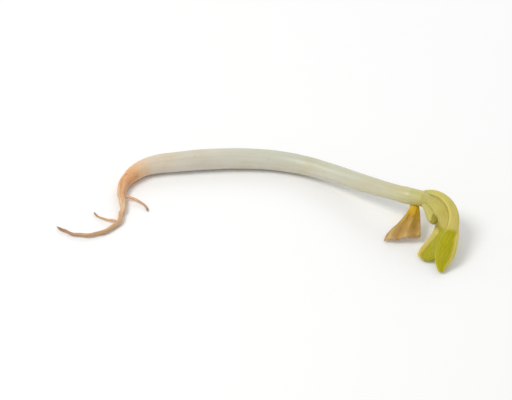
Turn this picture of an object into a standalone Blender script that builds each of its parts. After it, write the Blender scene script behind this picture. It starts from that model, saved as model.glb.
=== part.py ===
"""One mung bean sprout, five or six days old, lying on a flat surface.

The thick white stem (hypocotyl) runs along +X, from the root collar to the seed node, where one
withered seed half still hangs. A short neck (epicotyl) goes on from the node. It forks into the
first pair of true leaves, whose stalks bend over side by side in a hook, with the growing tip
on its inner side. The taproot turns away from the collar and carries two side roots.
Lengths are in millimetres and are turned into metres where the shapes are made.
"""

from math import cos, pi, sin

import bmesh
import bpy
from mathutils import Vector

MM = 0.001

# Driving dimensions.
STEM_RADIUS = 1.60
COLLAR_RADIUS = 1.16
NODE_RADIUS = 1.22
LEAF_SIDES = 10
SEED_SIDES = 10

# The middle of the sprout's box, on the surface it lies on, measured from the stem's root end.
BOX_MIDDLE = Vector((15.98, -9.24, 0.0))

# Colours are linear red, green and blue.
STEM_WHITE = (0.66, 0.64, 0.56)
ROOT_TAN = (0.62, 0.36, 0.17)
NECK_GREEN = (0.52, 0.55, 0.19)
LEAF_GREEN = (0.33, 0.36, 0.03)
SEED_YELLOW = (0.62, 0.42, 0.06)
BUD_OLIVE = (0.42, 0.40, 0.09)

# A stalk's route holds (x, y, z, radius). Where the stalk lies on the surface, z is its radius.
HYPOCOTYL_ROUTE = (
    (-1.70, -1.00, 1.18, COLLAR_RADIUS),
    (-0.65, -0.12, 1.29, 1.28),
    (1.00, 0.52, 1.43, 1.42),
    (4.20, 1.02, 1.56, 1.54),
    (8.50, 1.55, 1.61, STEM_RADIUS),
    (13.6, 1.80, 1.61, STEM_RADIUS),
    (18.7, 1.40, 1.57, 1.55),
    (23.0, 0.10, 1.70, 1.48),
    (27.3, -2.45, 2.16, 1.40),
    (31.5, -5.65, 2.94, 1.31),
    (34.9, -8.30, 3.76, 1.22),
    (37.6, -10.15, 4.35, NODE_RADIUS),
)
TAPROOT_ROUTE = (
    (-2.07, -1.41, 1.12, 1.12),
    (-2.74, -2.32, 1.01, 1.01),
    (-3.28, -3.55, 0.88, 0.88),
    (-3.45, -5.20, 0.74, 0.72),
    (-3.15, -7.30, 0.60, 0.58),
    (-3.05, -9.60, 0.52, 0.48),
    (-3.90, -11.9, 0.44, 0.40),
    (-5.80, -13.5, 0.42, 0.34),
    (-8.30, -14.0, 0.40, 0.29),
    (-10.6, -13.3, 0.32, 0.24),
    (-12.2, -11.9, 0.20, 0.17),
)
ROOTLET_ROUTES = {
    "lateral_rootlet_upper": (
        (-2.25, -6.00, 0.62, 0.24),
        (-1.20, -6.45, 0.50, 0.22),
        (-0.10, -7.30, 0.30, 0.18),
        (0.50, -8.50, 0.15, 0.13),
    ),
    "lateral_rootlet_lower": (
        (-4.19, -10.96, 0.52, 0.21),
        (-5.20, -10.65, 0.44, 0.19),
        (-6.40, -9.85, 0.26, 0.15),
        (-7.20, -8.70, 0.13, 0.11),
    ),
}
EPICOTYL_ROUTE = (
    (38.02, -10.42, 4.43, 1.18),
    (38.60, -10.70, 4.53, 1.16),
    (39.15, -10.95, 4.57, 1.12),
)

# A cage's rings hold (x, y, z, half width, half thickness), from the foot to the tip.
OUTER_LEAF_RINGS = (
    (39.98, -9.98, 5.08, 0.38, 0.38),
    (40.80, -10.34, 5.16, 0.56, 0.60),
    (41.80, -10.92, 5.18, 0.60, 0.64),
    (42.74, -11.94, 5.02, 0.58, 0.66),
    (43.38, -13.20, 4.74, 0.60, 0.64),
    (43.66, -14.55, 4.30, 0.76, 0.58),
    (43.38, -15.82, 3.72, 0.74, 0.48),
    (42.88, -17.00, 3.00, 1.02, 0.42),
    (42.38, -18.25, 2.34, 1.26, 0.40),
    (41.88, -19.45, 1.68, 1.32, 0.38),
    (41.50, -20.36, 1.10, 1.08, 0.36),
    (41.32, -21.12, 0.66, 0.72, 0.32),
    (41.22, -21.93, 0.28, 0.30, 0.20),
)
INNER_LEAF_RINGS = (
    (39.66, -11.22, 4.56, 0.72, 0.70),
    (40.18, -11.66, 4.50, 0.96, 0.88),
    (40.84, -12.52, 4.32, 1.00, 0.88),
    (41.38, -13.56, 4.00, 1.02, 0.84),
    (41.72, -14.50, 3.56, 1.00, 0.74),
    (41.74, -15.32, 3.00, 0.94, 0.58),
    (41.40, -15.98, 2.44, 0.92, 0.46),
    (40.84, -16.68, 1.92, 0.98, 0.40),
    (40.24, -17.38, 1.44, 1.06, 0.37),
    (39.70, -18.05, 1.03, 1.12, 0.35),
    (39.32, -18.66, 0.70, 1.10, 0.31),
    (39.12, -19.06, 0.51, 0.96, 0.27),
    (39.03, -19.28, 0.42, 0.56, 0.20),
)
COTYLEDON_RINGS = (
    (38.24, -11.24, 3.10, 0.32, 0.26),
    (38.12, -11.78, 2.76, 0.74, 0.40),
    (37.76, -12.64, 2.30, 1.22, 0.46),
    (37.26, -13.56, 1.84, 1.70, 0.46),
    (36.78, -14.34, 1.46, 2.08, 0.42),
    (36.46, -14.92, 1.20, 2.26, 0.34),
    (36.30, -15.30, 1.05, 2.00, 0.22),
)
TERMINAL_BUD_RINGS = (
    (39.22, -12.60, 4.62, 0.16, 0.16),
    (39.36, -13.10, 4.58, 0.30, 0.30),
    (39.62, -13.70, 4.44, 0.38, 0.38),
    (39.92, -14.42, 4.28, 0.42, 0.42),
    (40.14, -15.04, 4.28, 0.38, 0.38),
    (40.28, -15.44, 4.36, 0.26, 0.26),
    (40.34, -15.66, 4.42, 0.14, 0.14),
)


def clear_scene():
    for thing in list(bpy.data.objects):
        bpy.data.objects.remove(thing)


def finish_of(name, colour, roughness):
    """A plain material of one colour."""
    material = bpy.data.materials.new(name)
    material.use_nodes = True
    shader = material.node_tree.nodes["Principled BSDF"]
    shader.inputs["Base Color"].default_value = (*colour, 1.0)
    shader.inputs["Roughness"].default_value = roughness
    shader.inputs["Metallic"].default_value = 0.0
    return material


def stalk(route, bevel_steps, along_steps):
    """A round stalk along a smooth curve, with its own radius at each point."""
    curve = bpy.data.curves.new("stalk", "CURVE")
    curve.dimensions = "3D"
    curve.bevel_depth = MM
    curve.bevel_resolution = bevel_steps
    curve.use_fill_caps = True
    curve.resolution_u = along_steps
    spline = curve.splines.new("BEZIER")
    spline.radius_interpolation = "CARDINAL"
    spline.bezier_points.add(len(route) - 1)
    for point, (x, y, z, radius) in zip(spline.bezier_points, route):
        point.co = Vector((x, y, z)) * MM
        point.radius = radius
        point.handle_left_type = "AUTO"
        point.handle_right_type = "AUTO"
    return bpy.data.objects.new("stalk", curve)


def ring_points(centre, tangent, half_width, half_thickness, sides):
    """An oval ring at right angles to the tangent."""
    across = tangent.cross(Vector((0.0, 0.0, 1.0))).normalized()
    up = across.cross(tangent)
    points = []
    for side in range(sides):
        angle = 2 * pi * side / sides
        sideways = half_width * cos(angle)
        lift = half_thickness * sin(angle)
        points.append((centre + across * sideways + up * lift) * MM)
    return points


def soft_loft(rings, sides):
    """A closed cage through oval rings, rounded by a subdivision surface."""
    mesh = bmesh.new()
    centres = [Vector(ring[:3]) for ring in rings]
    last = len(rings) - 1
    loops = []
    for index, (_, _, _, half_width, half_thickness) in enumerate(rings):
        tangent = (centres[min(index + 1, last)] - centres[max(index - 1, 0)]).normalized()
        ring = ring_points(centres[index], tangent, half_width, half_thickness, sides)
        loops.append([mesh.verts.new(point) for point in ring])
    for lower, upper in zip(loops, loops[1:]):
        for side in range(sides):
            after = (side + 1) % sides
            mesh.faces.new((lower[side], lower[after], upper[after], upper[side]))
    mesh.faces.new(list(reversed(loops[0])))
    mesh.faces.new(loops[-1])
    bmesh.ops.recalc_face_normals(mesh, faces=mesh.faces)
    data = bpy.data.meshes.new("soft_loft")
    mesh.to_mesh(data)
    mesh.free()
    data.shade_smooth()
    thing = bpy.data.objects.new("soft_loft", data)
    rounding = thing.modifiers.new("rounding", "SUBSURF")
    rounding.levels = 1
    rounding.render_levels = 1
    return thing


def place(thing, name, material, collection, holder):
    thing.name = name
    thing.data.materials.append(material)
    collection.objects.link(thing)
    thing.parent = holder


clear_scene()
sprout = bpy.data.collections.new("mung_bean_sprout")
bpy.context.scene.collection.children.link(sprout)
holder = bpy.data.objects.new("sprout_place", None)
holder.location = -BOX_MIDDLE * MM
sprout.objects.link(holder)

stem_finish = finish_of("stem_white", STEM_WHITE, 0.35)
root_finish = finish_of("root_tan", ROOT_TAN, 0.5)
neck_finish = finish_of("neck_green", NECK_GREEN, 0.38)
leaf_finish = finish_of("leaf_green", LEAF_GREEN, 0.45)
seed_finish = finish_of("seed_yellow", SEED_YELLOW, 0.5)
bud_finish = finish_of("bud_olive", BUD_OLIVE, 0.5)

# The stem, from the root collar to the seed node.
hypocotyl = stalk(HYPOCOTYL_ROUTE, bevel_steps=6, along_steps=5)
place(hypocotyl, "hypocotyl", stem_finish, sprout, holder)

# The taproot narrows from the collar to a thread.
taproot = stalk(TAPROOT_ROUTE, bevel_steps=4, along_steps=5)
place(taproot, "taproot", root_finish, sprout, holder)

# Two side roots leave the taproot.
for rootlet_name, rootlet_route in ROOTLET_ROUTES.items():
    rootlet = stalk(rootlet_route, bevel_steps=2, along_steps=4)
    place(rootlet, rootlet_name, root_finish, sprout, holder)

# The neck between the seed node and the fork of the two leaf stalks.
epicotyl = stalk(EPICOTYL_ROUTE, bevel_steps=6, along_steps=4)
place(epicotyl, "epicotyl", neck_finish, sprout, holder)

# The first pair of true leaves: an oval stalk that flattens into a blade folded shut.
outer_leaf = soft_loft(OUTER_LEAF_RINGS, LEAF_SIDES)
place(outer_leaf, "outer_leaf", leaf_finish, sprout, holder)
inner_leaf = soft_loft(INNER_LEAF_RINGS, LEAF_SIDES)
place(inner_leaf, "inner_leaf", leaf_finish, sprout, holder)

# The withered seed half that still hangs from the node.
cotyledon = soft_loft(COTYLEDON_RINGS, SEED_SIDES)
place(cotyledon, "cotyledon", seed_finish, sprout, holder)

# The growing tip, on the inner side of the hook.
terminal_bud = soft_loft(TERMINAL_BUD_RINGS, SEED_SIDES)
place(terminal_bud, "terminal_bud", bud_finish, sprout, holder)
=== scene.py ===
from math import cos, exp, pi, radians, sin, sqrt

import bpy
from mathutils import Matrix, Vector, noise


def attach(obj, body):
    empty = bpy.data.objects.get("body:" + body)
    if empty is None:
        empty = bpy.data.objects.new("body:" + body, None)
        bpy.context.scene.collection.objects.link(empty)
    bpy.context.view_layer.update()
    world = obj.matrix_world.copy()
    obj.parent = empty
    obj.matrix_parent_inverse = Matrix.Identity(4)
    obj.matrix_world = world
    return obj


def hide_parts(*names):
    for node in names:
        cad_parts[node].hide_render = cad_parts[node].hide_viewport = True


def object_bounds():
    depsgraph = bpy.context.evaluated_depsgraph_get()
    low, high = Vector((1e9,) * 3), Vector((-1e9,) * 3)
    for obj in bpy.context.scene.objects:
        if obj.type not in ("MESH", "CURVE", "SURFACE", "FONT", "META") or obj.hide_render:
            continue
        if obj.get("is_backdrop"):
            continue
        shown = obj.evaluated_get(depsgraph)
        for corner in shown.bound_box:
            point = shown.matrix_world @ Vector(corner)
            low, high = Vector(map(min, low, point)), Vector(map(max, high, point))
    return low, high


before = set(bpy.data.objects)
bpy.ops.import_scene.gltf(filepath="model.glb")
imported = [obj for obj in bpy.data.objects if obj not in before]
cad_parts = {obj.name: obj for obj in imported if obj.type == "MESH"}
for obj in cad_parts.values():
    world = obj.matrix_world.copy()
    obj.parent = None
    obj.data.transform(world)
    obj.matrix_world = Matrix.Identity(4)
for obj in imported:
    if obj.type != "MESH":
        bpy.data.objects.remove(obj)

cad_low, cad_high = (Vector(corner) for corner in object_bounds())

# ------------------------------------------------------------------------------------------------
# Hypocotyl: the thick stem between the root collar and the seed node. It is crisp, watery tissue
# under a thin shiny skin, almost round, with faint ribs along it. It grew as one with the root and
# the neck, so its skin runs on into theirs at both ends.
# ------------------------------------------------------------------------------------------------
MM = 0.001
UPWARD = Vector((0.0, 0.0, 1.0))
PLACE = Vector((15.98, -9.24, 0.0))    # the frame's origin, in the mm that the routes use
COLLAR = (-1.88, -1.20, 1.15, 1.14, 1.14)    # x, y, z, half width and half thickness in mm
SEED_NODE = (37.81, -10.29, 4.39, 1.20, 1.20)
STEM_ROUTE = (
    (-2.74, -2.32, 1.01, 1.01, 1.01),
    COLLAR,
    (-0.65, -0.12, 1.29, 1.28, 1.28),
    (1.00, 0.52, 1.43, 1.42, 1.42),
    (4.20, 1.02, 1.56, 1.54, 1.54),
    (8.50, 1.55, 1.61, 1.60, 1.58),
    (13.6, 1.80, 1.61, 1.60, 1.57),
    (18.7, 1.40, 1.57, 1.55, 1.53),
    (23.0, 0.10, 1.70, 1.48, 1.46),
    (27.3, -2.45, 2.16, 1.40, 1.40),
    (31.5, -5.65, 2.94, 1.31, 1.31),
    (34.9, -8.30, 3.76, 1.22, 1.22),
    SEED_NODE,
    (38.60, -10.68, 4.53, 1.17, 1.14),
)
STEM_STEP = 0.18
STEM_SIDES = 72
STEM_SETTLE = (2.0, 2.5)    # how far from either end the relief fades, so that the joins match
RIB_COUNT = 7
RIB_TWIST = 0.05
RIB_DEPTH = 0.012           # depths are shares of the radius
SWELL_RATE = 0.13           # rates are ripples a mm
SWELL_DEPTH = 0.050
DENT_RATE = 0.34
DENT_SPREAD = 1.2
DENT_DEPTH = 0.028
SCAR_FROM_NODE = 1.05       # where the other seed half dropped off, at the back of the node
SCAR_REACH = 0.46
SCAR_ANGLE = radians(160)
SCAR_SPREAD = 0.36
SCAR_DEPTH = 0.08
SCAR_RIM = 0.6
SCAR_RIM_PLACE = 1.35
SCAR_RIM_WIDTH = 0.16
LIT_SIDE = (-0.1, 0.9)      # the sine of the angle round the stem over which it greens


def eased(value, low, high):
    """0 below low, 1 above high, and a smooth rise between them."""
    t = min(1.0, max(0.0, (value - low) / (high - low)))
    return t * t * (3 - 2 * t)


def ripple(x, y, z):
    """A smooth value from -1 to 1 that wanders with its place, so any place gives its own run."""
    return noise.noise(Vector((x, y, z)))


def ripple_round(x, angle, spread_out):
    """A ripple from 0 to 1 along and round a stalk."""
    return 0.5 + 0.5 * ripple(x, spread_out * cos(angle), spread_out * sin(angle))


def smooth_route(route, step, joined):
    """Rows and tangents of a smooth curve through a route's rows, about a step apart.

    Where an end is joined to the next piece, its outermost row only guides the curve.
    """
    rows = [Vector(row) for row in route]
    spans = [(b - a).to_3d().length for a, b in zip(rows, rows[1:])]
    slopes = [(b - a) / span for a, b, span in zip(rows, rows[1:], spans)]
    turns = [slopes[0]]
    for before, after, span, following in zip(slopes, slopes[1:], spans, spans[1:]):
        turns.append((before * following + after * span) / (span + following))
    turns.append(slopes[-1])
    first = 1 if joined[0] else 0
    last = len(spans) - (2 if joined[1] else 1)
    smooth = []
    for index in range(first, last + 1):
        start, end = rows[index], rows[index + 1]
        leaving, arriving = turns[index] * spans[index], turns[index + 1] * spans[index]
        count = max(1, round(spans[index] / step))
        for part in range(count + 1 if index == last else count):
            t = part / count
            row = start * (2 * t**3 - 3 * t**2 + 1) + leaving * (t**3 - 2 * t**2 + t)
            row += end * (3 * t**2 - 2 * t**3) + arriving * (t**3 - t**2)
            rate = start * (6 * t**2 - 6 * t) + leaving * (3 * t**2 - 4 * t + 1)
            rate += end * (6 * t - 6 * t**2) + arriving * (3 * t**2 - 2 * t)
            smooth.append((row, rate.to_3d().normalized()))
    return smooth


def grow(name, route, joined, sides, step, section, start=0.0):
    """A closed skin round a route.

    The section gives each point's place ahead, across and above in mm, its mark and its tint.
    Start is how far along the skin's pattern the piece begins, in mm.
    """
    rows = smooth_route(route, step, joined)
    runs = [0.0]
    for (before, _), (after, _) in zip(rows, rows[1:]):
        runs.append(runs[-1] + (after - before).to_3d().length)
    points, straight, along, marks, tints = [], [], [], [], []
    for run, (row, tangent) in zip(runs, rows):
        across = tangent.cross(UPWARD).normalized()
        above = across.cross(tangent)
        for side in range(sides):
            place, mark, tint = section(run, runs[-1], 2 * pi * side / sides, row)
            ahead, sideways, lift = place
            centre = row.to_3d() - PLACE + tangent * ahead
            points.append((centre + across * sideways + above * lift) * MM)
            straight += [(start + run + ahead) * MM, sideways * MM, lift * MM]
            along.append(run / runs[-1])
            marks.append(mark)
            tints.append(tint)
    last = (len(rows) - 1) * sides
    faces = [tuple(reversed(range(sides)))]
    for ring in range(0, last, sides):
        for side in range(sides):
            after = (side + 1) % sides
            faces.append((ring + side, ring + after, ring + sides + after, ring + sides + side))
    faces.append(tuple(range(last, last + sides)))
    mesh = bpy.data.meshes.new(name)
    mesh.from_pydata(points, [], faces)
    mesh.attributes.new("straight", "FLOAT_VECTOR", "POINT").data.foreach_set("vector", straight)
    for attribute, values in (("along", along), ("mark", marks), ("tint", tints)):
        mesh.attributes.new(attribute, "FLOAT", "POINT").data.foreach_set("value", values)
    mesh.shade_smooth()
    mesh.set_sharp_from_angle(angle=radians(75))
    piece = bpy.data.objects.new(name, mesh)
    bpy.context.scene.collection.objects.link(piece)
    return piece


def stem_section(run, length, angle, row):
    settle = eased(run, 0.0, STEM_SETTLE[0]) * eased(length - run, 0.0, STEM_SETTLE[1])
    rib = 0.5 + 0.5 * cos(RIB_COUNT * angle + RIB_TWIST * run)
    swell = 0.5 + 0.5 * ripple(SWELL_RATE * run, 4.2, 0.3)
    dent = ripple_round(DENT_RATE * run, angle, DENT_SPREAD)
    loss = settle * (RIB_DEPTH * rib + SWELL_DEPTH * swell + DENT_DEPTH * dent)
    off_scar = ((length - run - SCAR_FROM_NODE) / SCAR_REACH) ** 2
    off_scar += ((angle - SCAR_ANGLE) / SCAR_SPREAD) ** 2
    scar = exp(-off_scar**4)
    scar_rim = exp(-((off_scar - SCAR_RIM_PLACE) ** 2) / SCAR_RIM_WIDTH)
    loss += SCAR_DEPTH * (scar - SCAR_RIM * scar_rim)
    sideways = row[3] * (1 - loss) * cos(angle)
    lift = row[4] * (1 - loss) * sin(angle)
    facing_up = eased(sin(angle), *LIT_SIDE)
    return (0.0, sideways, lift), scar, facing_up


def put(tree, kind, inputs=None, **settings):
    """A node with its settings, and with its inputs set to values or linked to sockets."""
    made = tree.nodes.new(kind)
    for name, value in settings.items():
        setattr(made, name, value)
    for name, value in (inputs or {}).items():
        if isinstance(value, bpy.types.NodeSocket):
            tree.links.new(value, made.inputs[name])
        else:
            made.inputs[name].default_value = value
    return made


def reckon(tree, operation, first, second):
    made = put(tree, "ShaderNodeMath", {0: first, 1: second}, operation=operation)
    return made.outputs[0]


def spread(tree, value, low, high):
    """A value's range from low to high spread over 0 to 1."""
    return put(tree, "ShaderNodeMapRange", {0: value, 1: low, 2: high}).outputs[0]


def blended(tree, factor, first, second, blend_type="MIX"):
    """A mix of two colours. A Mix node's colours go in at 6 and 7 and come out at 2."""
    made = put(
        tree, "ShaderNodeMix", {0: factor, 6: first, 7: second},
        data_type="RGBA", blend_type=blend_type,
    )
    return made.outputs[2]


def graded(tree, value, stops):
    """A colour that changes with a value, through (value, colour) stops."""
    ramp = put(tree, "ShaderNodeValToRGB", {0: value})
    ramp.color_ramp.interpolation = "EASE"
    elements = ramp.color_ramp.elements
    while len(elements) < len(stops):
        elements.new(1.0)
    for element, (position, colour) in zip(elements, stops):
        element.position = position
        element.color = (*colour, 1.0)
    return ramp.outputs[0]


def kept(tree, attribute):
    """A number that the mesh keeps at each point."""
    return put(tree, "ShaderNodeAttribute", attribute_name=attribute).outputs["Fac"]


FLECK_RATES = (420.0, 900.0, 900.0)    # flecks a metre, along and across
GRAIN_RATE = 5200.0
GRAIN_SHARE = 0.5
PATCH_DULLNESS = 0.16


def living_skin():
    """Group: streaks of long cells, soft patches and small flecks, all toned from the base."""
    tree = bpy.data.node_groups.new("living skin", "ShaderNodeTree")
    face = tree.interface
    face.new_socket("Place", in_out="INPUT", socket_type="NodeSocketVector")
    face.new_socket("Base", in_out="INPUT", socket_type="NodeSocketColor")
    for effect in ("Streak", "Patch", "Fleck"):
        face.new_socket(effect + " Tone", in_out="INPUT", socket_type="NodeSocketColor")
        face.new_socket(effect + " Amount", in_out="INPUT", socket_type="NodeSocketFloat")
    face.new_socket("Cell Length", in_out="INPUT", socket_type="NodeSocketFloat")
    face.new_socket("Cell Width", in_out="INPUT", socket_type="NodeSocketFloat")
    face.new_socket("Patch Size", in_out="INPUT", socket_type="NodeSocketFloat")
    face.new_socket("Roughness", in_out="INPUT", socket_type="NodeSocketFloat")
    face.new_socket("Colour", in_out="OUTPUT", socket_type="NodeSocketColor")
    face.new_socket("Roughness", in_out="OUTPUT", socket_type="NodeSocketFloat")
    face.new_socket("Height", in_out="OUTPUT", socket_type="NodeSocketFloat")
    given = tree.nodes.new("NodeGroupInput").outputs
    along_scale = reckon(tree, "DIVIDE", 1.0, given["Cell Length"])
    cross_scale = reckon(tree, "DIVIDE", 1.0, given["Cell Width"])
    scale = put(tree, "ShaderNodeCombineXYZ", {0: along_scale, 1: cross_scale, 2: cross_scale})
    cells = put(
        tree, "ShaderNodeVectorMath", {0: given["Place"], 1: scale.outputs[0]},
        operation="MULTIPLY",
    )
    long_cells = put(
        tree, "ShaderNodeTexNoise", {"Vector": cells.outputs[0], "Scale": 1.0, "Detail": 3.0}
    )
    streak = spread(tree, long_cells.outputs[0], 0.36, 0.66)
    cloud_scale = reckon(tree, "DIVIDE", 1.0, given["Patch Size"])
    clouds = put(
        tree, "ShaderNodeTexNoise", {"Vector": given["Place"], "Scale": cloud_scale, "Detail": 2.5}
    )
    patch = spread(tree, clouds.outputs[0], 0.42, 0.68)
    dots = put(
        tree, "ShaderNodeVectorMath", {0: given["Place"], 1: FLECK_RATES}, operation="MULTIPLY"
    )
    spots = put(tree, "ShaderNodeTexVoronoi", {"Vector": dots.outputs[0], "Scale": 1.0})
    fleck = spread(tree, spots.outputs["Distance"], 0.17, 0.06)
    colour = given["Base"]
    for effect, mask in (("Streak", streak), ("Patch", patch), ("Fleck", fleck)):
        amount = reckon(tree, "MULTIPLY", mask, given[effect + " Amount"])
        colour = blended(tree, amount, colour, given[effect + " Tone"], "MULTIPLY")
    fine = put(
        tree, "ShaderNodeTexNoise", {"Vector": given["Place"], "Scale": GRAIN_RATE, "Detail": 2.0}
    )
    height = reckon(tree, "ADD", streak, reckon(tree, "MULTIPLY", fine.outputs[0], GRAIN_SHARE))
    dull = reckon(tree, "MULTIPLY", reckon(tree, "SUBTRACT", patch, 0.5), PATCH_DULLNESS)
    rough = reckon(tree, "ADD", given["Roughness"], dull)
    put(tree, "NodeGroupOutput", {"Colour": colour, "Roughness": rough, "Height": height})
    return tree


SKIN = living_skin()


def skin_material(name, base, skin, relief, **surface):
    """A Principled material over the living skin group. base(tree) makes its base colour."""
    material = bpy.data.materials.new(name)
    material.use_nodes = True
    tree = material.node_tree
    shader = tree.nodes["Principled BSDF"]
    place = put(tree, "ShaderNodeAttribute", attribute_name="straight")
    layer = put(tree, "ShaderNodeGroup", node_tree=SKIN)
    tree.links.new(place.outputs["Vector"], layer.inputs["Place"])
    tree.links.new(base(tree), layer.inputs["Base"])
    for socket, value in skin.items():
        layer.inputs[socket].default_value = value
    bump = put(
        tree, "ShaderNodeBump", {"Height": layer.outputs["Height"], "Distance": relief * MM}
    )
    tree.links.new(layer.outputs["Colour"], shader.inputs["Base Color"])
    tree.links.new(layer.outputs["Roughness"], shader.inputs["Roughness"])
    tree.links.new(bump.outputs[0], shader.inputs["Normal"])
    for socket, value in surface.items():
        shader.inputs[socket.replace("_", " ")].default_value = value
    return material


COLLAR_COLOUR = (0.76, 0.47, 0.26)
NODE_COLOUR = (0.57, 0.54, 0.29)
LIT_GREEN = (0.54, 0.57, 0.45, 1.0)
LIT_AMOUNT = 0.50
SCAR_BROWN = (0.42, 0.30, 0.12, 1.0)
SCAR_AMOUNT = 0.75


def stem_colours(tree):
    along = kept(tree, "along")
    body = graded(tree, along, (
        (0.000, COLLAR_COLOUR),
        (0.030, (0.73, 0.53, 0.36)),
        (0.080, (0.67, 0.60, 0.50)),
        (0.220, (0.64, 0.60, 0.53)),
        (0.600, (0.61, 0.59, 0.50)),
        (0.860, (0.59, 0.56, 0.42)),
        (1.000, NODE_COLOUR),
    ))
    greened = reckon(tree, "MULTIPLY", spread(tree, along, 0.10, 0.50), kept(tree, "tint"))
    greened = reckon(tree, "MULTIPLY", greened, spread(tree, along, 1.0, 0.86))
    amount = reckon(tree, "MULTIPLY", greened, LIT_AMOUNT)
    skin = blended(tree, amount, body, LIT_GREEN)
    scarred = reckon(tree, "MULTIPLY", kept(tree, "mark"), SCAR_AMOUNT)
    return blended(tree, scarred, skin, SCAR_BROWN)


STEM_SKIN = {
    "Streak Tone": (0.88, 0.87, 0.80, 1.0), "Streak Amount": 0.60,
    "Patch Tone": (0.96, 0.90, 0.78, 1.0), "Patch Amount": 0.70,
    "Fleck Tone": (0.84, 0.72, 0.54, 1.0), "Fleck Amount": 0.40,
    "Cell Length": 0.0070, "Cell Width": 0.00042, "Patch Size": 0.0032, "Roughness": 0.36,
}
stem_finish = skin_material(
    "stem skin", stem_colours, STEM_SKIN, relief=0.014,
    Subsurface_Weight=0.30, Subsurface_Radius=(1.0, 0.90, 0.62), Subsurface_Scale=0.0003,
    Specular_IOR_Level=0.40, Coat_Weight=0.10, Coat_Roughness=0.24,
)
hypocotyl = grow(
    "hypocotyl_stem", STEM_ROUTE, (True, True), STEM_SIDES, STEM_STEP, stem_section
)
hypocotyl.data.materials.append(stem_finish)
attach(hypocotyl, "root")
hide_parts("hypocotyl")

# ------------------------------------------------------------------------------------------------
# Taproot: the tail below the collar. It is a tan, wrinkled skin over a stringy core that narrows
# fast to a thread and lies kinked on the surface.
# ------------------------------------------------------------------------------------------------
TAPROOT_ROUTE = (
    (-0.65, -0.12, 1.29, 1.28, 1.28),
    COLLAR,
    (-2.74, -2.32, 1.01, 1.01, 1.01),
    (-3.28, -3.55, 0.88, 0.88, 0.88),
    (-3.45, -5.20, 0.74, 0.72, 0.72),
    (-3.15, -7.30, 0.60, 0.58, 0.57),
    (-3.05, -9.60, 0.52, 0.48, 0.47),
    (-3.90, -11.9, 0.44, 0.40, 0.39),
    (-5.80, -13.5, 0.42, 0.34, 0.33),
    (-8.30, -14.0, 0.40, 0.29, 0.28),
    (-10.6, -13.3, 0.32, 0.24, 0.23),
    (-11.9, -12.2, 0.22, 0.17, 0.16),
    (-12.20, -11.90, 0.19, 0.05, 0.05),
)
ROOT_SIDES = 56
ROOT_STEP = 0.10
ROOT_SETTLE = 1.6
THINNING = (2.0, 9.0)       # the run over which kinks and waists grow, in mm
ROOT_KINK = 0.30
KINK_RATE = 0.62
FURROW_RATE = 0.50
FURROW_SPREAD = 2.3
FURROW_DEPTH = 0.10
PINCH_RATE = 2.1
PINCH_SPREAD = 0.4
PINCH_DEPTH = 0.07
WAIST_RATE = 0.85
WAIST_DEPTH = 0.14


def root_section(run, length, angle, row):
    settle = eased(run, 0.0, ROOT_SETTLE)
    thin = eased(run, *THINNING)
    kink = ROOT_KINK * thin * ripple(KINK_RATE * run, 8.1, 2.3) * eased(length - run, 0.0, 2.0)
    furrow = ripple_round(FURROW_RATE * run, angle, FURROW_SPREAD)
    pinch = ripple_round(PINCH_RATE * run, angle, PINCH_SPREAD)
    waist = 0.5 + 0.5 * ripple(WAIST_RATE * run, 5.5, 1.1)
    loss = settle * (FURROW_DEPTH * furrow + PINCH_DEPTH * pinch + WAIST_DEPTH * thin * waist)
    sideways = row[3] * (1 - loss) * cos(angle) + kink
    lift = row[4] * (1 - loss) * sin(angle)
    # The third value marks the furrows, where the root's colour is darkened as painted shade.
    return (0.0, sideways, lift), 0.0, furrow * settle


# Painted shade: the root's colour is darkened in its furrows, where shade falls.
FURROW_SHADE_TONE = (0.74, 0.58, 0.42, 1.0)
FURROW_SHADE_AMOUNT = 0.55


def root_colours(tree):
    body = graded(tree, kept(tree, "along"), (
        (0.00, COLLAR_COLOUR),
        (0.06, (0.75, 0.43, 0.21)),
        (0.16, (0.74, 0.46, 0.25)),
        (0.32, (0.72, 0.50, 0.30)),
        (0.55, (0.62, 0.42, 0.24)),
        (0.82, (0.50, 0.31, 0.16)),
        (1.00, (0.30, 0.16, 0.07)),
    ))
    # Painted shade in the furrows.
    furrow_shade = spread(tree, kept(tree, "tint"), 0.40, 0.80)
    furrow_shade = reckon(tree, "MULTIPLY", furrow_shade, FURROW_SHADE_AMOUNT)
    return blended(tree, furrow_shade, body, FURROW_SHADE_TONE, "MULTIPLY")


root_finish = skin_material(
    "root skin", root_colours,
    {
        "Streak Tone": (0.84, 0.72, 0.58, 1.0), "Streak Amount": 0.60,
        "Patch Tone": (0.88, 0.74, 0.58, 1.0), "Patch Amount": 0.55,
        "Fleck Tone": (0.60, 0.42, 0.28, 1.0), "Fleck Amount": 0.50,
        "Cell Length": 0.0030, "Cell Width": 0.00028, "Patch Size": 0.0016, "Roughness": 0.46,
    },
    relief=0.022, Subsurface_Weight=0.30, Subsurface_Radius=(1.0, 0.62, 0.36),
    Subsurface_Scale=0.0005, Coat_Weight=0.10, Coat_Roughness=0.30,
)
taproot = grow(
    "taproot_tail", TAPROOT_ROUTE, (True, False), ROOT_SIDES, ROOT_STEP, root_section
)
taproot.data.materials.append(root_finish)
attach(taproot, "root")
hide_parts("taproot")

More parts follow.
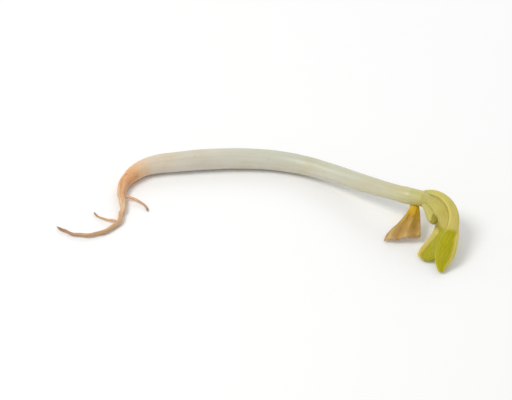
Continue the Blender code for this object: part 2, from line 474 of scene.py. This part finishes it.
# ------------------------------------------------------------------------------------------------
# Side roots: two young rootlets that broke out through the taproot's skin. Each is a soft tapered
# thread with a blunt tip.
# ------------------------------------------------------------------------------------------------
ROOTLET_ROUTES = {
    "lateral_rootlet_upper": (
        (-3.00, -5.80, 0.66, 0.26, 0.26),
        (-2.25, -6.00, 0.62, 0.24, 0.24),
        (-1.20, -6.45, 0.50, 0.21, 0.21),
        (-0.10, -7.30, 0.30, 0.17, 0.17),
        (0.42, -8.30, 0.16, 0.12, 0.12),
        (0.49, -8.52, 0.15, 0.04, 0.04),
    ),
    "lateral_rootlet_lower": (
        (-3.45, -11.25, 0.50, 0.23, 0.23),
        (-4.19, -10.96, 0.52, 0.21, 0.21),
        (-5.20, -10.65, 0.44, 0.18, 0.18),
        (-6.40, -9.85, 0.26, 0.14, 0.14),
        (-7.10, -8.85, 0.14, 0.10, 0.10),
        (-7.21, -8.68, 0.13, 0.03, 0.03),
    ),
}
ROOTLET_SIDES = 28
ROOTLET_STEP = 0.07
ROOTLET_WANDER = 0.10
ROOTLET_WAIST = 0.16
ROOTLET_FURROW = 0.08


def rootlet_section(run, length, angle, row):
    waist = 0.5 + 0.5 * ripple(1.3 * run, 3.5, 6.1)
    furrow = ripple_round(0.8 * run, angle, FURROW_SPREAD)
    size = 1 - ROOTLET_WAIST * waist - ROOTLET_FURROW * furrow
    wander = ROOTLET_WANDER * ripple(0.9 * run, 2.7, 4.4) * eased(run, 0.5, 2.0)
    sideways = row[3] * size * cos(angle) + wander
    # The third value marks the furrows, where the root's colour is darkened as painted shade.
    return (0.0, sideways, row[4] * size * sin(angle)), 0.0, furrow


for node_name, route in ROOTLET_ROUTES.items():
    rootlet = grow(
        node_name + "_thread", route, (False, False), ROOTLET_SIDES, ROOTLET_STEP, rootlet_section
    )
    rootlet.data.materials.append(root_finish)
    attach(rootlet, "root")
    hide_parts(node_name)

# ------------------------------------------------------------------------------------------------
# Epicotyl: the short neck from the seed node to the fork of the leaf stalks. It is tender yellow
# green tissue, and it runs on into the thicker of the two stalks.
# ------------------------------------------------------------------------------------------------
FORK = (39.42, -11.10, 4.57, 1.14, 1.08)
NECK_ROUTE = (
    (34.9, -8.30, 3.76, 1.22, 1.22),
    SEED_NODE,
    (38.60, -10.68, 4.53, 1.17, 1.14),
    FORK,
    (40.20, -11.62, 4.50, 1.16, 1.04),
)
NECK_STEP = 0.08
NECK_SETTLE = 0.7
NECK_DENT_DEPTH = 0.04
NECK_PATTERN_START = 42.4    # how far along the skin's pattern the neck begins, in mm
FORK_COLOUR = (0.55, 0.49, 0.17)


def neck_section(run, length, angle, row):
    settle = eased(run, 0.0, NECK_SETTLE) * eased(length - run, 0.0, NECK_SETTLE)
    rib = 0.5 + 0.5 * cos(RIB_COUNT * angle)
    dent = ripple_round(0.9 * run, angle, 1.6)
    size = 1 - settle * (RIB_DEPTH * rib + NECK_DENT_DEPTH * dent)
    return (0.0, row[3] * size * cos(angle), row[4] * size * sin(angle)), 0.0, 0.0


def neck_colours(tree):
    return graded(tree, kept(tree, "along"), ((0.0, NODE_COLOUR), (1.0, FORK_COLOUR)))


LEAF_SKIN = {
    "Streak Tone": (0.84, 0.83, 0.60, 1.0), "Streak Amount": 0.55,
    "Patch Tone": (0.88, 0.90, 0.70, 1.0), "Patch Amount": 0.50,
    "Fleck Tone": (0.80, 0.70, 0.50, 1.0), "Fleck Amount": 0.35,
    "Cell Length": 0.0034, "Cell Width": 0.00024, "Patch Size": 0.0018, "Roughness": 0.38,
}
neck_finish = skin_material(
    "neck skin", neck_colours, LEAF_SKIN, relief=0.014,
    Subsurface_Weight=0.26, Subsurface_Radius=(1.0, 0.90, 0.40), Subsurface_Scale=0.0003,
    Specular_IOR_Level=0.25,
)
epicotyl = grow(
    "epicotyl_neck", NECK_ROUTE, (True, True), STEM_SIDES, NECK_STEP, neck_section,
    NECK_PATTERN_START,
)
epicotyl.data.materials.append(neck_finish)
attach(epicotyl, "root")
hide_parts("epicotyl")

# ------------------------------------------------------------------------------------------------
# True leaves: the first pair. Their stalks bend over side by side in a hook. Each blade is still
# folded shut along its midrib, which shows as a pale edge, and its two halves hang together.
# ------------------------------------------------------------------------------------------------
LEAF_ROUTES = {                        # x, y, z, half width and half thickness in mm
    "inner_leaf": (
        (38.60, -10.68, 4.53, 1.17, 1.14),
        FORK,
        (40.20, -11.62, 4.50, 1.16, 1.04),
        (40.92, -12.48, 4.34, 1.22, 1.02),
        (41.48, -13.52, 4.04, 1.26, 0.98),
        (41.84, -14.48, 3.60, 1.22, 0.86),
        (41.80, -15.30, 3.05, 1.14, 0.68),
        (41.40, -15.97, 2.48, 1.05, 0.54),
        (40.84, -16.66, 1.96, 1.02, 0.46),
        (40.26, -17.38, 1.46, 1.08, 0.42),
        (39.76, -18.08, 1.03, 1.24, 0.38),
        (39.42, -18.70, 0.70, 1.26, 0.33),
        (39.24, -19.10, 0.51, 1.20, 0.29),
        (39.16, -19.30, 0.43, 1.14, 0.26),
    ),
    "outer_leaf": (
        (38.30, -10.42, 4.50, 0.46, 0.46),
        (39.05, -10.46, 4.70, 0.62, 0.60),
        (39.90, -10.50, 4.92, 0.72, 0.70),
        (40.78, -10.70, 5.04, 0.78, 0.74),
        (41.65, -11.20, 5.04, 0.82, 0.76),
        (42.52, -12.10, 4.90, 0.84, 0.76),
        (43.12, -13.28, 4.60, 0.84, 0.74),
        (43.36, -14.55, 4.16, 0.82, 0.66),
        (43.18, -15.80, 3.60, 0.90, 0.55),
        (42.80, -17.00, 2.96, 1.14, 0.49),
        (42.34, -18.25, 2.32, 1.34, 0.46),
        (41.86, -19.45, 1.66, 1.38, 0.43),
        (41.50, -20.36, 1.10, 1.10, 0.38),
        (41.32, -21.06, 0.70, 0.70, 0.32),
        (41.24, -21.66, 0.38, 0.38, 0.24),
    ),
}
STALK_LENGTHS = {"inner_leaf": 5.4, "outer_leaf": 9.5}
TIP_LENGTHS = {"inner_leaf": 0.7, "outer_leaf": 0.5}
RIB_SIDES = {"inner_leaf": 1, "outer_leaf": -1}
RIB_SHARES = {"inner_leaf": 0.38, "outer_leaf": 0.10}
LEAF_SIDES = 120
LEAF_STEP = 0.07
LEAF_SETTLE = 1.4
NECK_LENGTH = 1.82
OPENING = (-0.7, 1.2)       # where stalk turns to blade and to green, in mm from its end
GREENING = (-0.1, 0.5)
SHEET = 0.085               # half the thickness of one half of a blade
MIDRIB = 0.17               # what the midrib adds to that
MIDRIB_REACH = 0.13         # as a share of the way out to the margin
FULL_HALF_WIDTH = 0.7       # a blade with less is thinner in proportion
FOLD_BLUNTNESS = 0.0004     # keeps the fold at the midrib from being a knife edge
FLUTTER = 0.22
MARGIN_INSET = 0.04
INNER_GAP = 0.012           # half the least gap between a blade's two halves
VEIN_SPACING = 1.7
VEIN_SLANT = 3.6
VEIN_WANDER = 0.8
VEIN_RELIEF = 0.014
VEIN_PALENESS = 0.18
RIB_NARROWING = 0.75
INSIDE_GREEN = 0.80         # the shut faces are paler than the outside
# Painted highlight: the blades' margins are made less green.
MARGIN_HIGHLIGHT = 0.30
STALK_FLATTENING = (0.4, 2.4)
STALK_FLATNESS = 0.62
STALK_RIDGE = 0.06
RIDGE_ANGLES = (0.64 * pi, 1.36 * pi)
RIDGE_SPREAD = 0.15
STALK_CHANNEL = 0.10
CHANNEL_SPREAD = 0.5
STALK_DENT_DEPTH = 0.03
TIP_BLUNTNESS = 0.0016      # keeps a closed end from shrinking to a point


def rounded_end(run, length, reach):
    """1 along a piece, closing as a quarter circle over its last reach."""
    t = max(0.0, (run - length + reach) / reach)
    return sqrt(max(1 - t * t, TIP_BLUNTNESS))


def folded_blade(run, angle, half_width, half_thickness):
    """The section of a shut blade: from its midrib out to both margins and back inside."""
    reach = abs(sin(angle))
    outside = cos(angle)
    size = min(1.0, half_width / FULL_HALF_WIDTH)
    rib = size * (SHEET + MIDRIB * exp(-((reach / MIDRIB_REACH) ** 2)))
    open_half = max(half_thickness - size * SHEET, 0.0)
    flutter = 1 + FLUTTER * ripple(0.8 * run, 3.0 if sin(angle) > 0 else 6.0, 0.4)
    back = half_width - size * (SHEET + MIDRIB)
    travel = back + half_width - size * MARGIN_INSET
    bulge = sqrt(reach + FOLD_BLUNTNESS)
    slope = Vector((0.5 * open_half * flutter / bulge, travel)).normalized()
    across_sheet = rib * outside
    wander = VEIN_WANDER * ripple(0.6 * run, 1.5 * reach, 7.0)
    vein_place = run - VEIN_SLANT * reach * travel + wander
    vein = max(0.0, cos(2 * pi * vein_place / VEIN_SPACING)) ** 2
    vein *= eased(reach, 0.10, 0.30) * eased(1 - reach, 0.0, 0.20)
    if outside > 0:
        across_sheet += size * VEIN_RELIEF * vein
    sideways = back - reach * travel + across_sheet * slope.x
    lift = open_half * flutter * bulge + across_sheet * slope.y
    if outside <= 0:
        lift = max(lift, INNER_GAP)
    return sideways, lift if sin(angle) >= 0 else -lift, vein, reach


def stalk_section(run, angle, row, settle):
    """The section of a stalk: round outside, and flat with two ridges where the stalks meet."""
    flat = eased(run, *STALK_FLATTENING) * settle
    ridge = sum(exp(-(((angle - place) / RIDGE_SPREAD) ** 2)) for place in RIDGE_ANGLES)
    channel = exp(-(((angle - pi) / CHANNEL_SPREAD) ** 2))
    dent = ripple_round(0.7 * run, angle, 1.5)
    facing = cos(angle)
    if facing < 0:
        flattened = -((-facing) ** (1 - STALK_FLATNESS * flat))
        facing = flattened * (1 - flat * STALK_CHANNEL * channel)
    size = 1 + settle * STALK_RIDGE * (flat * ridge - 1) - STALK_DENT_DEPTH * settle * dent
    # The third value lays a painted highlight along the two ridges.
    return row[3] * size * facing, row[4] * size * sin(angle), flat * ridge


def leaf_section_for(stalk_length, tip_length, rib_side, rib_share, joined):
    """Makes the section of one leaf, from its stalk to its tip."""

    def section(run, length, angle, row):
        opened = eased(run, stalk_length + OPENING[0], stalk_length + OPENING[1])
        greened = eased(run, stalk_length + GREENING[0], stalk_length + GREENING[1])
        settle = eased(run, 0.0, LEAF_SETTLE) if joined else 1.0
        closing = rounded_end(run, length, tip_length)
        stalk_sideways, stalk_lift, ridge = stalk_section(run, angle, row, settle)
        blade_sideways, blade_lift, vein, reach = folded_blade(
            run, angle, row[3] * closing, row[4] * closing
        )
        sideways = (1 - opened) * stalk_sideways + opened * blade_sideways
        lift = (1 - opened) * stalk_lift + opened * blade_lift
        rib_width = rib_share * (1 - RIB_NARROWING * eased(run, stalk_length, length))
        # Painted highlight along the blade margins.
        margin_highlight = eased(reach, 0.94, 1.0)
        green = eased(reach, rib_width, rib_width + 0.10) * (1 - MARGIN_HIGHLIGHT * margin_highlight)
        if cos(angle) < 0:
            green = INSIDE_GREEN
        # Painted highlight along the stalk ridges, and the veins' own paleness on the blade.
        pale = (1 - opened) * ridge + VEIN_PALENESS * opened * vein
        return (0.0, rib_side * sideways, lift), pale, greened * green

    return section


BLADE_GREEN = (0.415, 0.378, 0.001, 1.0)
# The veins' pale yellow, which also paints a highlight along the stalk ridges.
VEIN_AND_RIDGE_HIGHLIGHT_YELLOW = (0.74, 0.66, 0.22, 1.0)
VEIN_AND_RIDGE_HIGHLIGHT_AMOUNT = 0.60


def leaf_colours(tree):
    stalk = graded(tree, kept(tree, "along"), (
        (0.00, FORK_COLOUR),
        (0.08, FORK_COLOUR),
        (0.25, (0.60, 0.52, 0.15)),
        (0.55, (0.62, 0.52, 0.15)),
        (1.00, (0.60, 0.48, 0.12)),
    ))
    colour = blended(tree, kept(tree, "tint"), stalk, BLADE_GREEN)
    pale = reckon(tree, "MULTIPLY", kept(tree, "mark"), VEIN_AND_RIDGE_HIGHLIGHT_AMOUNT)
    return blended(tree, pale, colour, VEIN_AND_RIDGE_HIGHLIGHT_YELLOW)


leaf_finish = skin_material(
    "leaf skin", leaf_colours, LEAF_SKIN, relief=0.014,
    Subsurface_Weight=0.60, Subsurface_Radius=(1.0, 0.90, 0.40), Subsurface_Scale=0.0006,
    Specular_IOR_Level=0.16,
)
for node_name, route in LEAF_ROUTES.items():
    joined = node_name == "inner_leaf"
    leaf_section = leaf_section_for(
        STALK_LENGTHS[node_name], TIP_LENGTHS[node_name], RIB_SIDES[node_name],
        RIB_SHARES[node_name], joined,
    )
    start = NECK_PATTERN_START + (NECK_LENGTH if joined else 0.0)
    leaf = grow(
        node_name + "_blade", route, (joined, False), LEAF_SIDES, LEAF_STEP, leaf_section, start
    )
    leaf.data.materials.append(leaf_finish)
    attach(leaf, "root")
    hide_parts(node_name)

# ------------------------------------------------------------------------------------------------
# Cotyledon: what is left of one seed half. It fed the seedling, so it has shrivelled to a thin
# folded husk that widens like a fan, yellow where it hangs from the node and tan at its end.
# ------------------------------------------------------------------------------------------------
SEED_ROUTE = (
    (38.20, -10.50, 3.76, 0.52, 0.38),
    (38.24, -11.05, 3.32, 0.64, 0.42),
    (38.10, -11.75, 2.84, 0.88, 0.44),
    (37.74, -12.66, 2.32, 1.28, 0.40),
    (37.24, -13.58, 1.84, 1.74, 0.35),
    (36.74, -14.36, 1.46, 2.14, 0.29),
    (36.42, -14.94, 1.20, 2.38, 0.22),
    (36.28, -15.34, 1.04, 2.44, 0.16),
)
SEED_SIDES = 96
SEED_STEP = 0.06
SEED_SHRIVELLING = (0.7, 4.0)  # the run over which its folds and droop set in, in mm
SEED_END = 0.22
SEED_END_NARROWING = 0.05
SEED_DROOP = 0.12
SEED_SAG = 0.16
SEED_FOLD = 0.30
SEED_FOLDS = 1.12              # folds across half the husk
SEED_FOLD_THINNING = 0.25
SEED_WRINKLE = 0.055
SEED_SLANT = 0.34
SEED_TATTER = 0.38


def seed_section(run, length, angle, row):
    shrivelled = eased(run, *SEED_SHRIVELLING)
    closing = rounded_end(run, length, SEED_END)
    edge = cos(angle)
    fold = cos(2 * pi * (SEED_FOLDS * edge + 0.10 * edge**2 + 0.16) + 0.10 * run)
    sag = ripple(0.50 * run, 1.4 * edge, 5.0)
    wrinkle = ripple(0.42 * run, 5.5 * edge, 2.0) + 0.5 * ripple(0.9 * run, 11.0 * edge, 8.0)
    sideways = row[3] * edge * (1 - SEED_END_NARROWING * (1 - closing))
    lift = row[4] * closing * sin(angle) * (1 - SEED_FOLD_THINNING * shrivelled * fold)
    lift += shrivelled * (SEED_FOLD * fold * (1 - 0.4 * edge**2) + SEED_SAG * sag)
    lift += SEED_WRINKLE * eased(run, 0.4, 2.0) * wrinkle
    lift -= shrivelled * SEED_DROOP * row[3] * edge**2
    ahead = SEED_SLANT * sideways * run / length
    tatter = ripple(1.7 * edge, 4.0, 9.0) + 0.22 * ripple(4.2 * edge, 1.0, 3.0)
    ahead += SEED_TATTER * shrivelled * tatter * (run / length) ** 2
    # Painted shade: the husk is darkened in its fold valleys and along its wrinkles.
    valley_shade = 0.5 - 0.5 * fold + 0.3 * wrinkle
    return (ahead, sideways, lift), valley_shade, shrivelled


# Painted shade in the husk's fold valleys and wrinkles.
VALLEY_SHADE_TONE = (0.74, 0.62, 0.44, 1.0)
VALLEY_SHADE_AMOUNT = 0.55


def seed_colours(tree):
    body = graded(tree, kept(tree, "along"), (
        (0.00, (0.62, 0.50, 0.10)),
        (0.16, (0.74, 0.50, 0.015)),
        (0.32, (0.66, 0.43, 0.03)),
        (0.48, (0.53, 0.355, 0.08)),
        (0.80, (0.56, 0.38, 0.12)),
        (1.00, (0.60, 0.42, 0.18)),
    ))
    valley_shade = reckon(tree, "MULTIPLY", kept(tree, "mark"), VALLEY_SHADE_AMOUNT)
    valley_shade = reckon(tree, "MULTIPLY", valley_shade, kept(tree, "tint"))
    return blended(tree, valley_shade, body, VALLEY_SHADE_TONE, "MULTIPLY")


seed_finish = skin_material(
    "seed skin", seed_colours,
    {
        "Streak Tone": (0.80, 0.70, 0.52, 1.0), "Streak Amount": 0.65,
        "Patch Tone": (0.82, 0.72, 0.56, 1.0), "Patch Amount": 0.60,
        "Fleck Tone": (0.60, 0.42, 0.25, 1.0), "Fleck Amount": 0.50,
        "Cell Length": 0.0026, "Cell Width": 0.00040, "Patch Size": 0.0014, "Roughness": 0.48,
    },
    relief=0.024, Subsurface_Weight=0.20, Subsurface_Radius=(1.0, 0.6, 0.2),
    Subsurface_Scale=0.0003, Specular_IOR_Level=0.20,
)
cotyledon = grow(
    "cotyledon_husk", SEED_ROUTE, (False, False), SEED_SIDES, SEED_STEP, seed_section
)
cotyledon.data.materials.append(seed_finish)
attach(cotyledon, "root")
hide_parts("cotyledon")

# ------------------------------------------------------------------------------------------------
# Terminal bud: the growing tip, a plump bud wrapped in two pale scale leaves that leave its olive
# tip bare, that olive darkened as painted shade on the bud. It springs from the fork and lies
# against the inner side of the hook.
# ------------------------------------------------------------------------------------------------
BUD_ROUTE = (
    (39.04, -11.24, 4.44, 0.20, 0.20),
    (39.36, -11.96, 4.46, 0.36, 0.36),
    (39.72, -12.80, 4.38, 0.48, 0.48),
    (40.06, -13.66, 4.24, 0.60, 0.60),
    (40.28, -14.42, 4.12, 0.68, 0.67),
    (40.44, -15.08, 4.10, 0.62, 0.60),
    (40.56, -15.54, 4.14, 0.42, 0.42),
    (40.62, -15.78, 4.18, 0.24, 0.24),
)
BUD_SIDES = 80
BUD_STEP = 0.04
BUD_TIP = 0.24
BUD_RIBS = 9
BUD_RIB_DEPTH = 0.02
SCALE_MIDDLE = radians(20)
SCALE_END = 0.90            # shares of the bud's length
SCALE_ARCH = 0.22
SCALE_EDGE = (-0.02, 0.025)
SCALE_STEP = 0.11           # a share of its radius


def bud_section(run, length, angle, row):
    from_middle = abs((angle - SCALE_MIDDLE + 0.5 * pi) % pi - 0.5 * pi)
    scale_end = SCALE_END - SCALE_ARCH * (from_middle / (0.5 * pi)) ** 2
    bare = eased(run / length, scale_end + SCALE_EDGE[0], scale_end + SCALE_EDGE[1])
    rib = 0.5 + 0.5 * cos(BUD_RIBS * angle)
    size = 1 - SCALE_STEP * bare - BUD_RIB_DEPTH * rib
    size *= rounded_end(run, length, BUD_TIP)
    return (0.0, row[3] * size * cos(angle), row[4] * size * sin(angle)), bare, 0.0


# The bare tip's own olive, darkened further as painted shade on the bud.
OLIVE_TIP_AND_SHADE = (0.33, 0.27, 0.035, 1.0)


def bud_colours(tree):
    scales = graded(tree, kept(tree, "along"), (
        (0.00, FORK_COLOUR),
        (0.60, (0.56, 0.50, 0.16)),
        (1.00, (0.54, 0.47, 0.10)),
    ))
    return blended(tree, kept(tree, "mark"), scales, OLIVE_TIP_AND_SHADE)


bud_finish = skin_material(
    "bud skin", bud_colours, LEAF_SKIN, relief=0.014,
    Subsurface_Weight=0.20, Subsurface_Radius=(1.0, 0.90, 0.30), Subsurface_Scale=0.0003,
    Specular_IOR_Level=0.20,
)
terminal_bud = grow(
    "terminal_bud_tip", BUD_ROUTE, (False, False), BUD_SIDES, BUD_STEP, bud_section
)
terminal_bud.data.materials.append(bud_finish)
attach(terminal_bud, "root")
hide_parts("terminal_bud")

# ------------------------------------------------------------------------------------------------
# Floor: a plain pale sheet that the sprout lies on.
# ------------------------------------------------------------------------------------------------
FLOOR_REACH = 3.0
corners = ((-1, -1), (1, -1), (1, 1), (-1, 1))
floor_mesh = bpy.data.meshes.new("floor")
floor_mesh.from_pydata(
    [(x * FLOOR_REACH, y * FLOOR_REACH, 0.0) for x, y in corners], [], [(0, 1, 2, 3)]
)
floor = bpy.data.objects.new("floor", floor_mesh)
bpy.context.scene.collection.objects.link(floor)
floor_finish = bpy.data.materials.new("pale floor")
floor_finish.use_nodes = True
floor_shader = floor_finish.node_tree.nodes["Principled BSDF"]
floor_shader.inputs["Base Color"].default_value = (0.90, 0.90, 0.89, 1.0)
floor_shader.inputs["Roughness"].default_value = 0.7
floor_shader.inputs["Specular IOR Level"].default_value = 0.2
floor_mesh.materials.append(floor_finish)
floor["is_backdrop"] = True

# ------------------------------------------------------------------------------------------------
# Light: a bright even room, with one large soft lamp high on the left and a smaller one behind
# that lights the stem's edge from the back.
# ------------------------------------------------------------------------------------------------
ROOM_COLOUR = (0.97, 0.98, 1.0, 1.0)
ROOM_STRENGTH = 0.69


def soft_lamp(name, place, size, power, colour):
    lamp = bpy.data.lights.new(name, "AREA")
    lamp.shape = "DISK"
    lamp.size = size
    lamp.energy = power
    lamp.color = colour
    holder = bpy.data.objects.new(name, lamp)
    holder.location = place
    holder.rotation_euler = (-Vector(place)).to_track_quat("-Z", "Y").to_euler()
    bpy.context.scene.collection.objects.link(holder)


soft_lamp(
    "key_lamp", place=(-0.16, -0.05, 0.26), size=0.16, power=0.45, colour=(1.0, 0.98, 0.95)
)
soft_lamp(
    "back_lamp", place=(0.12, 0.24, 0.16), size=0.14, power=0.15, colour=(0.96, 0.98, 1.0)
)
room = bpy.data.worlds.new("room")
room.use_nodes = True
room_light = room.node_tree.nodes["Background"]
room_light.inputs["Color"].default_value = ROOM_COLOUR
room_light.inputs["Strength"].default_value = ROOM_STRENGTH
bpy.context.scene.world = room
bpy.context.scene.view_settings.view_transform = "Standard"

# ------------------------------------------------------------------------------------------------
# Camera: it looks along +Y and down on the sprout, far enough off to keep the shape true.
# ------------------------------------------------------------------------------------------------
ELEVATION = radians(40)
SENSOR_WIDTH = 36.0     # in mm, like the lens
LENS = 110.0
FILLED_SHARE = 0.78     # of the picture's width
middle = (cad_low + cad_high) / 2
distance = (cad_high.x - cad_low.x) / FILLED_SHARE * LENS / SENSOR_WIDTH
camera_data = bpy.data.cameras.new("camera")
camera_data.lens = LENS
camera_data.sensor_width = SENSOR_WIDTH
camera = bpy.data.objects.new("camera", camera_data)
sight = Vector((0.0, cos(ELEVATION), -sin(ELEVATION)))
camera.location = middle - sight * distance
camera.rotation_euler = sight.to_track_quat("-Z", "Y").to_euler()
bpy.context.scene.collection.objects.link(camera)
bpy.context.scene.camera = camera
